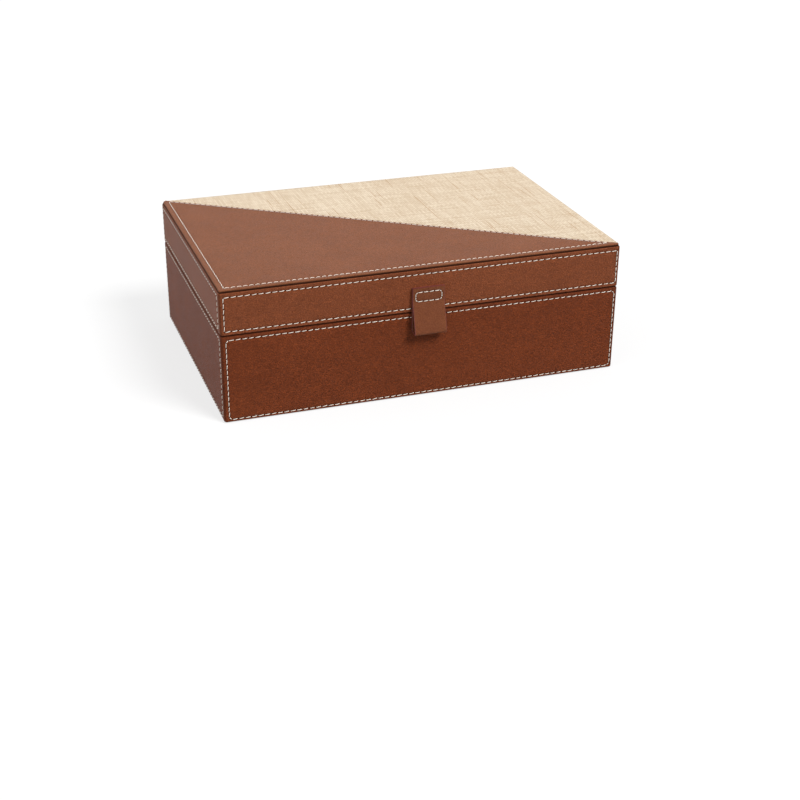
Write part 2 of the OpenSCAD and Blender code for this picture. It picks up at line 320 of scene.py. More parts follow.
def raw_edge():
    """The cut edge of the tab's leather, dyed maroon and burnished."""
    edge = Finish("raw_leather_edge")
    layers = edge.noise(edge.place((0.3, 1.0, 1.0)), 0.35, 3, 0.6)
    colour = edge.mix(layers.fade(0.3, 0.7), (0.075, 0.012, 0.010), (0.19, 0.035, 0.024))
    return edge.set(Base_Color=colour, Roughness=0.5 + 0.2 * layers, Normal=edge.bump(layers, 0.08))


def raffia():
    """Fine plain-woven raffia. Every strand has its own tone, which changes slowly along it; the gaps
    between strands get painted shade.
    """
    weave = Finish("woven_raffia")
    place = weave.place()
    x = weave.axis(place, "X")
    y = weave.axis(place, "Y")
    sway_x = weave.noise(weave.place((0.35, 0.03, 0.2)), 1.0, 2, 0.5)
    sway_y = weave.noise(weave.place((0.03, 0.35, 0.2)), 1.0, 2, 0.5)
    u = (x + 0.7 * sway_x) / RAFFIA_PITCH[0]
    v = (y + 0.7 * sway_y) / RAFFIA_PITCH[1]
    column = u.math("FLOOR")
    row = v.math("FLOOR")
    from_gap_u = u.math("PINGPONG", 0.5)
    from_gap_v = v.math("PINGPONG", 0.5)
    over = (column + row).math("PINGPONG", 1.0)
    strand_u = (from_gap_u * math.pi).math("SINE")
    strand_v = (from_gap_v * math.pi).math("SINE")
    height = over * strand_u + (1 - over) * strand_v
    deep_tone = weave.strand_tone(column * 7.31, y * 0.030)
    wide_tone = weave.strand_tone(row * 5.77, x * 0.025)
    tone = over * deep_tone + (1 - over) * wide_tone
    open_u = weave.strand_tone((u + 0.5).math("FLOOR") * 3.17 + 50, y * 0.012).fade(0.57, 0.68)
    open_v = weave.strand_tone((v + 0.5).math("FLOOR") * 4.71 + 90, x * 0.012).fade(0.54, 0.66)
    gap_u = (from_gap_u - 0.13 * open_u).fade(0.22, 0.0)
    gap_v = (from_gap_v - 0.06 * open_v).fade(0.21, 0.0)
    colour = weave.mix(tone.fade(0.36, 0.64), (0.750, 0.645, 0.500), (0.595, 0.472, 0.332))
    # Painted shade in the gaps between the strands, deeper where the weave opens.
    colour = weave.mix(gap_v * (0.38 + 0.40 * open_v), colour, (0.43, 0.28, 0.16))
    colour = weave.mix(gap_u * (0.40 + 0.42 * open_u), colour, (0.42, 0.25, 0.13))
    return weave.set(Base_Color=colour, Roughness=0.62 + 0.15 * (1 - height),
                     Normal=weave.bump(height + 0.4 * tone, 0.16), Specular_IOR_Level=0.3)


def suede(name, deep, light):
    """Brushed suede with a short nap."""
    nap = Finish(name)
    place = nap.place()
    hand = nap.noise(nap.place((1.0, 0.5, 0.7)), 34, 3, 0.6, 1.2)
    fuzz = nap.noise(place, 0.5, 3, 0.7)
    mid = nap.noise(place, 4, 3, 0.6)
    colour = nap.mix((0.40 * hand + 0.2 * mid + 0.40 * fuzz).fade(0.34, 0.66), deep, light)
    return nap.set(Base_Color=colour, Roughness=0.86 + 0.1 * (fuzz - 0.5), Sheen_Weight=0.25,
                   Sheen_Roughness=0.5, Normal=nap.bump(fuzz + mid * 0.8, 0.12),
                   Specular_IOR_Level=0.15)


def board():
    """Pale hardwood with its grain along X."""
    wood = Finish("hardwood_board")
    rings = wood.noise(wood.place((0.02, 0.30, 0.30)), 2.2, 4, 0.6, 0.5)
    pores = wood.noise(wood.place((0.12, 2.2, 2.2)), 1.0, 2, 0.5)
    colour = wood.mix(rings.fade(0.32, 0.68), (0.42, 0.27, 0.14), (0.58, 0.42, 0.25))
    colour = wood.mix(pores.fade(0.58, 0.7) * 0.6, colour, (0.24, 0.14, 0.07))
    return wood.set(Base_Color=colour, Roughness=0.5 + 0.25 * pores,
                    Normal=wood.bump(rings + 0.5 * pores, 0.10))


def brass(name, tone):
    """Satin brass with brushing along X, faint tarnish and fine scratches."""
    metal = Finish(name)
    brush = metal.noise(metal.place((0.12, 3.0, 3.0)), 1.0, 3, 0.6)
    cloud = metal.noise(metal.place(), 5, 3, 0.6)
    scratch = metal.noise(metal.place((0.6, 1.8, 1.2)), 1.2, 2, 0.5, 2.5).fade(0.62, 0.66)
    bright = scaled((0.62, 0.46, 0.225), tone)
    dull = scaled((0.43, 0.30, 0.13), tone)
    colour = metal.mix(cloud.fade(0.42, 0.7) * 0.6, bright, dull)
    rough = 0.32 + 0.16 * brush + 0.16 * cloud + 0.12 * scratch
    return metal.set(Base_Color=colour, Metallic=1.0, Roughness=rough,
                     Normal=metal.bump(brush + scratch, 0.02))


def thread():
    """Waxed cream thread, slightly soiled in broad random patches."""
    cord = Finish("cream_thread")
    fibre = cord.noise(cord.place(), 0.22, 2, 0.6)
    soil = cord.noise(cord.place(), 11, 3, 0.6)
    colour = cord.mix(fibre.fade(0.3, 0.7), (0.74, 0.64, 0.54), (0.92, 0.86, 0.78))
    colour = cord.mix(soil.fade(0.5, 0.8) * 0.3, colour, (0.56, 0.43, 0.33))
    return cord.set(Base_Color=colour, Roughness=0.6 + 0.15 * fibre, Normal=cord.bump(fibre, 0.05))


# The darker and the lighter tone of each leather. The top and the base are the same leather as the lid:
# the top's tones are paler and less saturated, a painted sheen, and the base's tones are darker, a painted
# shade.
LID_TONES = (0.194, 0.0495, 0.0164), (0.320, 0.0886, 0.0320)
SHEEN_TOP_TONES = (0.191, 0.0590, 0.0213), (0.311, 0.1035, 0.0400)
SHADED_BASE_TONES = (0.160, 0.0333, 0.0086), (0.268, 0.0594, 0.0164)
TAB_TONES = (0.184, 0.0514, 0.0188), (0.250, 0.0775, 0.0296)
FINISHES = {
    "lid": leather("lid_leather_finish", *LID_TONES, pebble=1.2, creases=0.20, roughness=0.46, gloss=0.14),
    "top": leather("top_leather_painted_sheen", *SHEEN_TOP_TONES, pebble=1.0, creases=0.06, roughness=0.46, gloss=0.16),
    "base": leather("base_leather_painted_shade", *SHADED_BASE_TONES, pebble=1.2, creases=0.30, roughness=0.48,
                    gloss=0.12),
    "tab": leather("tab_leather_finish", *TAB_TONES, pebble=0.7, creases=0.08, roughness=0.46, gloss=0.16),
    "edge": raw_edge(),
    "raffia": raffia(),
    "suede": suede("lining_suede_finish", (0.235, 0.150, 0.088), (0.385, 0.265, 0.172)),
    "board": board(),
    "brass": brass("satin_brass_leaf", 1.0),
    "screw": brass("satin_brass_screw", 0.66),
    "thread": thread(),
}


# ---------- meshes ----------

def add_object(name, data):
    made = bpy.data.objects.new(name, data)
    bpy.context.scene.collection.objects.link(made)
    return made


def make_piece(name, points, faces, finishes, attributes=None, sharp=45, kinds=None):
    """A mesh object from points in millimetres. kinds gives each face its place among the finishes."""
    mesh = bpy.data.meshes.new(name)
    mesh.from_pydata((np.asarray(points, float) * MM).tolist(), [], faces)
    for finish in finishes:
        mesh.materials.append(FINISHES[finish])
    if kinds is not None:
        mesh.polygons.foreach_set("material_index", np.asarray(kinds, np.int32))
    for key, values in (attributes or {}).items():
        layer = mesh.attributes.new(key, "FLOAT", "POINT")
        layer.data.foreach_set("value", np.asarray(values, np.float32))
    tidy_mesh(mesh)
    smooth(mesh, sharp)
    return add_object(name, mesh)


def smooth(mesh, sharp):
    """Smooth shading, but for edges sharper than this angle in degrees."""
    mesh.polygons.foreach_set("use_smooth", [True] * len(mesh.polygons))
    mesh.set_sharp_from_angle(angle=math.radians(sharp))


def tidy_mesh(mesh):
    """Joins points that fall together and turns the faces outwards."""
    work = bmesh.new()
    work.from_mesh(mesh)
    bmesh.ops.remove_doubles(work, verts=work.verts, dist=2e-7)
    bmesh.ops.dissolve_degenerate(work, edges=work.edges, dist=1e-7)
    bmesh.ops.recalc_face_normals(work, faces=work.faces)
    work.to_mesh(mesh)
    work.free()


def put_on(piece, body, slot, *nodes):
    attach(piece, body)
    if nodes:
        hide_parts(*nodes)
    return piece


def spread(start, end, step):
    """Evenly spaced numbers from start to end, about step apart."""
    count = max(1, round(abs(end - start) / step))
    return np.linspace(start, end, count + 1)


def ring_faces(first, rings, sides):
    """Faces of a tube whose rings of points follow one another, and its two ends."""
    faces = []
    for i in range(rings - 1):
        for k in range(sides):
            a = first + i * sides + k
            b = first + i * sides + (k + 1) % sides
            faces.append((a, b, b + sides, a + sides))
    last = first + (rings - 1) * sides
    faces.append(tuple(range(first, first + sides)))
    faces.append(tuple(range(last, last + sides))[::-1])
    return faces


def swell(a, b, size):
    """A low, smooth waviness from -1 to 1, the same on every run."""
    one = np.sin(a / size + 1.7 * np.sin(b / size * 0.63 + 0.4))
    two = np.sin(b / size * 1.31 + 1.3 * np.sin(a / size * 0.47 + 2.1))
    return (one + two) / 2


# ---------- sewing ----------

class Run:
    """One straight line of stitches on a flat face, in that face's own two directions."""

    def __init__(self, start, end, pitch, lean=LEAN, stitch=STITCH, bold=1.0):
        self.start = Vector(start)
        self.end = Vector(end)
        self.length = (self.end - self.start).length
        self.count = max(1, round(self.length / pitch))
        self.along = (self.end - self.start) / self.length
        self.lean = lean
        self.bold = bold
        self.stitch = min(stitch, 0.82 * self.length / self.count)


def thread_fields(u, v, runs):
    """How near each point is to the thread and how many stitches along it lies."""
    near = np.zeros(len(u))
    count = np.zeros(len(u))
    for run in runs:
        du = u - run.start.x
        dv = v - run.start.y
        t = np.clip(du * run.along.x + dv * run.along.y, 0, run.length)
        apart = np.hypot(du - t * run.along.x, dv - t * run.along.y)
        closer = REACH - apart > near
        near = np.where(closer, REACH - apart, near)
        count = np.where(closer, t / run.length * run.count, count)
    return near, count


def press(near):
    """Depth of the channel that the thread pulls into the leather."""
    apart = REACH - near
    return 0.30 * np.exp(-(apart / 0.75) ** 2) + 0.10 * np.exp(-(apart / 2.0) ** 2)


def stitch_tube(centre, along, across, out, length, bold, turn):
    """Points of one two-ply stitch whose ends dip into their holes."""
    points = []
    for i in range(TUBE_RINGS):
        f = 2 * i / (TUBE_RINGS - 1) - 1
        rise = 0.20 - 0.50 * abs(f) ** 3.2
        bulge = 0.72 + 0.28 * (1 - abs(f) ** 3)
        middle = centre + along * (f * length / 2) + out * rise
        for k in range(TUBE_SIDES):
            a = 2 * math.pi * k / TUBE_SIDES
            r = THREAD_R * bold * bulge * (1 + 0.10 * math.cos(2 * a + 5.0 * f + turn))
            points.append(middle + across * (r * math.cos(a)) + out * (0.82 * r * math.sin(a)))
    return points


def sew(name, sewn, body, slot):
    """One object for a group of runs. sewn pairs runs with the face's origin, directions and outside."""
    points = []
    faces = []
    number = 0
    for runs, (origin, right, up, out) in sewn:
        for run in runs:
            for i in range(run.count):
                spot = run.start + run.along * (run.length * (i + 0.5) / run.count)
                wobble = 0.35 * LEAN * math.sin(number * 2.3)
                turn = run.lean + wobble
                a = run.along
                lay = Vector((a.x * math.cos(turn) - a.y * math.sin(turn),
                              a.x * math.sin(turn) + a.y * math.cos(turn)))
                along = right * lay.x + up * lay.y
                across = up * lay.x - right * lay.y
                centre = origin + right * spot.x + up * spot.y
                length = run.stitch * (1 + 0.05 * math.sin(number * 1.1))
                faces += ring_faces(len(points), TUBE_RINGS, TUBE_SIDES)
                points += stitch_tube(centre, along, across, out, length, run.bold, number * 0.9)
                number += 1
    piece = make_piece(name, points, faces, ["thread"], sharp=80)
    return put_on(piece, body, slot)


# ---------- stitch lines of the two bands ----------

# The four faces in the order of the band, each with its direction along it, its outside, half its length
# and its distance from the middle
Face = namedtuple("Face", "name along out half away")
FACES = [
    Face("back", Vector((-1, 0)), Vector((0, 1)), HALF_W, HALF_D),
    Face("left", Vector((0, -1)), Vector((-1, 0)), HALF_D, HALF_W),
    Face("front", Vector((1, 0)), Vector((0, -1)), HALF_W, HALF_D),
    Face("right", Vector((0, 1)), Vector((1, 0)), HALF_D, HALF_W),
]
# Distance of the upright rows from the ends of each face
LID_COLUMNS = {"back": (3.0, 3.0), "left": (3.0, 6.6), "front": (3.05, 2.4), "right": (3.0, 3.0)}
BASE_COLUMNS = {"back": (3.4, 3.4), "left": (3.0, 5.0), "front": (3.65, 2.6), "right": (3.4, 3.4)}
# For each band the heights of its plain row and of the row beside the parting line
LID_ROWS = (96.1, PARTING + 3.2)
BASE_ROWS = (2.7, PARTING - 3.4)
# For each band its columns, its rows, the pitches along them and the cut of its corners
LID_SEWING = LID_COLUMNS, LID_ROWS, 4.49, 4.92, 0
BASE_SEWING = BASE_COLUMNS, BASE_ROWS, 4.2, 4.74, 1.7
# On the two ends the stitches are shorter and their thread a little thicker
SIDE_SEWING = (3.1, 1.45)


def row_spans(name, s0, s1):
    """Stretches of a row beside the parting line; on the back it stops at the hinge pockets."""
    if name != "back":
        return [(s0, s1)]
    gap = POCKET_L / 2 + 2.4
    return [(s0, -HINGE_X - gap), (-HINGE_X + gap, HINGE_X - gap), (HINGE_X + gap, s1)]


def corner_runs(s0, s1, z0, z1, cut, stitch):
    """The slanting stitches that cut the four corners of a frame."""
    runs = []
    for s, inward in ((s0, 1), (s1, -1)):
        for z, upward in ((z0, 1), (z1, -1)):
            ends = (s, z + upward * cut), (s + inward * cut, z)
            runs.append(Run(*ends, pitch=4.0, lean=0.0, stitch=stitch))
    return runs


def frame_runs(name, half, columns, rows, column_pitch, row_pitch, cut):
    """Frame of stitches on one face of a band. Without a cut its corners are square."""
    s0 = -half + columns[name][0]
    s1 = half - columns[name][1]
    plain, parted = rows
    z0, z1 = sorted(rows)
    long, bold = SIDE_SEWING if name in ("left", "right") else (STITCH, 1.0)
    spans = [(plain, s0 + cut, s1 - cut)]
    spans += [(parted, a, b) for a, b in row_spans(name, s0 + cut, s1 - cut)]
    runs = [Run((a, z), (b, z), row_pitch, LEAN, long, bold) for z, a, b in spans]
    runs += [Run((s, z0 + cut), (s, z1 - cut), column_pitch, -LEAN, STITCH, bold) for s in (s0, s1)]
    if cut:
        runs += corner_runs(s0, s1, z0, z1, cut, stitch=2.2)
    return runs


# ---------- leather bands ----------

def stations(lines):
    """Places round the box from one side of the seam in the back to the other: for each the face, the
    distance along it and the angle turned past its end."""
    places = []
    for number in range(5):
        face = FACES[number % 4]
        half = face.half - BAND
        low = SEAM / 2 if number == 0 else -half
        high = -SEAM / 2 if number == 4 else half
        marks = set(np.round(spread(low, high, 1.25), 4))
        close = {line + f for line in lines[face.name] for f in NEAR_ROW}
        marks |= {round(c, 4) for c in close if low < c < high}
        if number == 0:
            marks |= {low + d for d in NEAR_SEAM}
        if number == 4:
            marks |= {high - d for d in NEAR_SEAM}
        for s in sorted(marks):
            places.append((number % 4, s, 0.0))
        if number < 4:
            places += [(number % 4, half, a) for a in np.linspace(0, math.pi / 2, 9)[1:-1]]
    return places


def band_point(place, o):
    """Plan position of a point o outside the wood at a place round the box."""
    number, s, turn = place
    face = FACES[number]
    half = face.half - BAND
    away = face.away - BAND
    if o <= 0 or turn == 0:
        s = max(-half - min(o, 0), min(half + min(o, 0), s))
        return face.along * s + face.out * (away + o)
    return face.along * (half + o * math.sin(turn)) + face.out * (away + o * math.cos(turn))


def levels(z0, z1, rows, step):
    """Heights for the outer face, close together beside the rows of stitches."""
    fine = (-2.3, *NEAR_ROW, 2.3)
    near = sorted({round(row + f, 3) for row in rows for f in fine if z0 < row + f < z1})
    far = [z for z in spread(z0, z1, step) if all(abs(z - n) > 0.5 * step for n in near)]
    return sorted(set(near) | set(far) | {z0, z1})


def arc(centre, radius, start, end, count):
    angles = np.linspace(math.radians(start), math.radians(end), count)
    return [(centre[0] + radius * math.cos(a), centre[1] + radius * math.sin(a)) for a in angles]


def base_section():
    """Section of the lower band: up the outside, over the rim and down inside to the lining."""
    z0, z1 = BASE_LOW.z, BASE_HIGH.z
    section = [(0, z0), (BAND - EDGE_R - 0.3, z0)]
    section += arc((BAND - EDGE_R, z0 + EDGE_R), EDGE_R, -90, 0, 6)
    section += [(BAND, z) for z in levels(z0 + EDGE_R, z1 - EDGE_R, BASE_ROWS, 4.5)[1:-1]]
    section += arc((BAND - EDGE_R, z1 - EDGE_R), EDGE_R, 0, 90, 6)
    section += [(-0.6, z1 - 0.02), (-WALL / 2, z1), (-WALL + 0.4, z1)]
    section += arc((INSIDE + HEM_R, z1 - HEM_R), HEM_R, 90, 180, 4)
    section += [(INSIDE, LINING_TOP + 0.3), (INSIDE + 0.15, LINING_TOP), (-WALL, LINING_TOP)]
    section += [(-WALL, BOARD_HIGH.z), (0, BOARD_HIGH.z)]
    return section


def lid_section():
    """Section of the upper band, with the strip that backs the groove under the top."""
    z0, z1 = LID_BOTTOM, BOARD_TOP - GROOVE
    section = [(0, RAIL_BOTTOM), (-WALL, RAIL_BOTTOM), (-WALL, LINING_BOTTOM)]
    section += [(INSIDE + 0.15, LINING_BOTTOM), (INSIDE, LINING_BOTTOM - 0.3)]
    section += arc((INSIDE + HEM_R, z0 + HEM_R), HEM_R, 180, 270, 4)
    section += [(-WALL + 0.4, z0), (-WALL / 2, z0), (-0.6, z0 + 0.02)]
    section += arc((BAND - EDGE_R, z0 + EDGE_R), EDGE_R, -90, 0, 6)
    section += [(BAND, z) for z in levels(z0 + EDGE_R, z1 - LEDGE_R, LID_ROWS, 3.6)[1:-1]]
    section += arc((BAND - LEDGE_R, z1 - LEDGE_R), LEDGE_R, 0, 90, 6)
    section += [(BAND - LEDGE_R, BOARD_TOP), (0, BOARD_TOP)]
    return section


def pocket_cutters(up):
    """Blocks that cut the round hinge pockets and the leaves' mortises from a band."""
    made = []
    for side in (-1, 1):
        rim = []
        for x in (-POCKET_L / 2, POCKET_L / 2):
            for k in range(POCKET_SIDES):
                a = 2 * math.pi * k / POCKET_SIDES
                y = HALF_D + POCKET_R * math.cos(a)
                rim.append((side * HINGE_X + x, y, PARTING + POCKET_R * math.sin(a)))
        n = POCKET_SIDES
        walls = [(k, (k + 1) % n, n + (k + 1) % n, n + k) for k in range(n)]
        ends = [tuple(range(n))[::-1], tuple(range(n, 2 * n))]
        made.append(make_piece(f"cut_round_{side}", rim, walls + ends, ["lid"]))
        z = sorted((PARTING, PARTING + up * MORTISE_T))
        corners = [(side * HINGE_X + x, y, h) for h in z for x in (-MORTISE_L / 2, MORTISE_L / 2)
                   for y in (HALF_D - MORTISE_W, HALF_D + 1)]
        block = [(0, 1, 3, 2), (4, 6, 7, 5), (0, 4, 5, 1), (2, 3, 7, 6), (0, 2, 6, 4), (1, 5, 7, 3)]
        made.append(make_piece(f"cut_leaf_{side}", corners, block, ["lid"]))
    return made


def apply_modifiers(piece):
    """Replaces the mesh with what its modifiers make of it."""
    shown = piece.evaluated_get(bpy.context.evaluated_depsgraph_get())
    old = piece.data
    piece.data = bpy.data.meshes.new_from_object(shown)
    piece.data.name = piece.name
    piece.modifiers.clear()
    bpy.data.meshes.remove(old)


def cut_away(piece, cutters):
    for cutter in cutters:
        cut = piece.modifiers.new("pocket", "BOOLEAN")
        cut.operation = "DIFFERENCE"
        cut.solver = "MANIFOLD"
        cut.object = cutter
    apply_modifiers(piece)
    for cutter in cutters:
        bpy.data.objects.remove(cutter)


def painted_shades(offset, high, turn):
    """How much painted shade darkens the leather: in the groove under the top and on the ledge below it,
    beside the parting line, on the hem turned down inside and where the band turns the corners.
    """
    below = BOARD_TOP - GROOVE
    groove = (high > below - 0.01) & (offset > -0.01)
    ledge = (offset < BAND - LEDGE_R + 0.05) & (high > below - 0.1) & (offset > 0)
    rim = np.clip((BAND - 0.1 - offset) / 0.5, 0, 1) * np.clip((offset - 0.2) / 0.9, 0, 1)
    rim = rim * (np.abs(high - PARTING) < 1.5)
    inner = 0.2 * (offset < -WALL + 0.5)
    corner = 0.38 * np.sin(2 * turn) * (offset > 0)
    return np.max([groove * 0.96, ledge * 0.8, rim * 0.9, inner, corner], axis=0)


def leather_band(name, section, sewing, up, finish):
    """A leather strip wrapped round the box from one edge of the seam to the other, and its stitches."""
    lines = {}
    runs = {}
    for face in FACES:
        start, end = sewing[0][face.name]
        lines[face.name] = (-face.half + start, face.half - end)
        runs[face.name] = frame_runs(face.name, face.half, *sewing)
    places = stations(lines)
    count = len(section)
    plan = np.array([[tuple(band_point(place, o)) for o, z in section] for place in places])
    high = np.broadcast_to(np.array([z for o, z in section]), plan.shape[:2])
    offset = np.broadcast_to(np.array([o for o, z in section]), plan.shape[:2])
    number, s, turn = np.array(places).T
    near = np.zeros(plan.shape[:2])
    stitches = np.zeros(plan.shape[:2])
    for k, face in enumerate(FACES):
        mine = np.where((number == k) & (turn == 0))[0]
        u = np.repeat(s[mine], count)
        v = np.tile(high[0], len(mine))
        found = thread_fields(u, v, runs[face.name])
        near[mine] = found[0].reshape(len(mine), count)
        stitches[mine] = found[1].reshape(len(mine), count)
    outer = offset > BAND - EDGE_R * 0.9
    near = np.where(outer, near, 0)
    travel = np.arange(len(places))[:, None] * 1.2 + 0 * high
    depth = press(near) * (near > 0) + 0.05 * swell(travel, high, 21) + 0.02 * swell(travel, high, 5.3)
    to_seam = np.where(number == 0, np.abs(s) - SEAM / 2, 9.0)[:, None]
    depth = depth + 0.55 * np.exp(-(to_seam / 0.35)) + 0.12 * np.exp(-(to_seam / 1.5) ** 2)
    outward = np.array([tuple(FACES[k].out * math.cos(a) + FACES[k].along * math.sin(a))
                        for k, _, a in places])[:, None, :]
    share = np.clip((offset - (BAND - EDGE_R)) / EDGE_R, 0, 1)
    plan = plan - outward * (depth * share)[:, :, None]
    points = np.dstack([plan, high]).reshape(-1, 3)
    faces = ring_faces(0, len(places), count)
    # Painted shade in the groove, on the ledge, beside the parting line, on the inner hem and round the
    # corners.
    shade = painted_shades(offset, high, turn[:, None] + 0 * high)
    fields = {"thread_near": near.ravel(), "thread_count": stitches.ravel(), "painted_shade": shade.ravel()}
    piece = make_piece(name, points, faces, [finish], fields, sharp=60)
    cut_away(piece, pocket_cutters(up))
    smooth(piece.data, 50)
    return piece, runs


def face_frames(runs):
    """The runs of every face with its place in space."""
    sewn = []
    for face in FACES:
        outside = face.out.to_3d()
        place = (outside * (face.away - BAND_SINK), face.along.to_3d(), Z, outside)
        sewn.append((runs[face.name], place))
    return sewn


def dress_bands():
    """The two bands and their stitches."""
    for body, section, sewing, up in (("base", base_section(), BASE_SEWING, -1),
                                      ("lid", lid_section(), LID_SEWING, 1)):
        band, runs = leather_band(body + "_leather", section, sewing, up, body)
        put_on(band, body, "box_leather", body + "_leather_band")
        sew(body + "_stitching", face_frames(runs), body, "box_leather")


# ---------- flat and padded panels ----------

def rectangle(x0, y0, x1, y1):
    return [Vector((x0, y0)), Vector((x1, y0)), Vector((x1, y1)), Vector((x0, y1))]


def sides_of(corners):
    """Each side of a convex outline as a start, a direction and an inward normal."""
    sides = []
    for i, start in enumerate(corners):
        along = (corners[(i + 1) % len(corners)] - start).normalized()
        sides.append((start, along, Vector((-along.y, along.x))))
    return sides


def contour(corners, radii, inset, step):
    """Points of the outline moved inwards by inset, its corners rounded."""
    sides = sides_of(corners)
    moved = []
    for i in range(len(corners)):
        before, after = sides[i - 1], sides[i]
        dot = before[2].dot(after[2])
        moved.append(corners[i] + (before[2] + after[2]) * (inset / (1 + dot)))
    radii = [max(r - inset, 0.02) for r in radii]
    points = []
    for i, corner in enumerate(moved):
        before, after = sides[i - 1], sides[i]
        r = radii[i]
        middle = corner + (before[2] + after[2]) * (r / (1 + before[2].dot(after[2])))
        start = math.atan2(-before[2].y, -before[2].x)
        turn = math.atan2(before[1].x * after[1].y - before[1].y * after[1].x, before[1].dot(after[1]))
        count = 6 if r > 0.1 else 2
        for k in range(count + 1):
            a = start + turn * k / count
            points.append(middle + Vector((math.cos(a), math.sin(a))) * r)
        here = middle - after[2] * r
        following = sides[(i + 1) % len(corners)]
        r = radii[(i + 1) % len(corners)]
        lean = (after[2] + following[2]) / (1 + after[2].dot(following[2])) - after[2]
        there = moved[(i + 1) % len(corners)] + lean * r
        for f in spread(0, 1, step / max((there - here).length, 1e-6))[1:-1]:
            points.append(here.lerp(there, f))
    return points


def panel(name, corners, radii, profile, place, finish, step, grid, runs=(), relief=None):
    """A flat piece with rolled edges. profile pairs distances from the outline with heights above the
    back; place is the origin, the two directions in the plane and the one out of it; points lie step
    apart along the edges and grid apart inside."""
    sides = sides_of(corners)
    flat = []
    heights = []
    for inset, height in profile:
        ring = contour(corners, radii, inset, step)
        flat += ring
        heights += [height] * len(ring)
        if inset == profile[0][0]:
            outline = len(ring)
    crest = profile[-1][1]
    clear = profile[-1][0] + 0.15

    def inside(point, margin):
        return all((point - start).dot(inward) > margin for start, along, inward in sides)

    for run in runs:
        across = Vector((-run.along.y, run.along.x))
        for off in (0, 0.35, -0.35, 0.7, -0.7, 1.1, -1.1, 1.7, -1.7, ROW_CLEAR, -ROW_CLEAR):
            for t in spread(-1.5, run.length + 1.5, 1.0):
                point = run.start + run.along * t + across * off
                if inside(point, clear):
                    flat.append(point)
    xs = [c.x for c in corners]
    ys = [c.y for c in corners]
    for i, x in enumerate(spread(min(xs), max(xs), grid)):
        for y in spread(min(ys), max(ys), grid):
            point = Vector((x, y + (i % 2) * grid / 2))
            apart = [abs((point - run.start).cross(run.along)) for run in runs]
            if inside(point, clear + grid / 3) and min(apart, default=9) > ROW_CLEAR + grid / 3:
                flat.append(point)
    heights += [crest] * (len(flat) - len(heights))
    made = delaunay_2d_cdt(flat, [], [list(range(outline))], 1, 1e-4)
    spots, triangles, origins = made[0], made[2], made[3]
    u = np.array([p.x for p in spots])
    v = np.array([p.y for p in spots])
    w = np.array([heights[min(o)] for o in origins])
    near, count = thread_fields(u, v, runs)
    edge = np.min([(u - start.x) * inward.x + (v - start.y) * inward.y
                   for start, along, inward in sides], axis=0)
    w = w - press(near) * (near > 0)
    if relief:
        w = w + relief(u, v, edge) * np.clip(edge / max(clear, 1.0), 0, 1)
    ring = [k for o, k in sorted((min(o), k) for k, o in enumerate(origins)) if o < outline]
    first = len(spots)
    u = np.append(u, u[ring])
    v = np.append(v, v[ring])
    w = np.append(w, np.zeros(len(ring)))
    faces = [tuple(t) for t in triangles]
    n = len(ring)
    faces += [(ring[k], first + k, first + (k + 1) % n, ring[(k + 1) % n]) for k in range(n)]
    faces.append(tuple(first + k for k in range(n))[::-1])
    origin, right, up, out = place
    points = (np.array(origin)[None, :] + u[:, None] * np.array(right) + v[:, None] * np.array(up)
              + w[:, None] * np.array(out))
    pad = np.zeros(n)
    fields = {"thread_near": np.append(near, pad), "thread_count": np.append(count, pad)}
    # Painted shade along the rolled edge, where shadow falls above the groove, and strong on the back
    # face; only the leather's shader reads it.
    fields["painted_shade"] = np.append(0.7 * np.clip(1 - edge / 0.2, 0, 1), pad + 0.95)
    return make_piece(name, points, faces, [finish], fields, sharp=40)


def rolled(radius, height, steps=6):
    """Profile of an edge that rolls over with this radius up to height."""
    angles = np.linspace(0, math.pi / 2, steps)
    return [(radius * (1 - math.cos(a)), height - radius + radius * math.sin(a)) for a in angles]


def round_arc(centre, radius, degrees):
    """Corners of straight sides that touch an arc at these angles."""
    corners = []
    for start, end in zip(degrees, degrees[1:]):
        middle = math.radians((start + end) / 2)
        away = radius / math.cos(math.radians((end - start) / 2))
        corners.append(centre + Vector((math.cos(middle), math.sin(middle))) * away)
    return corners


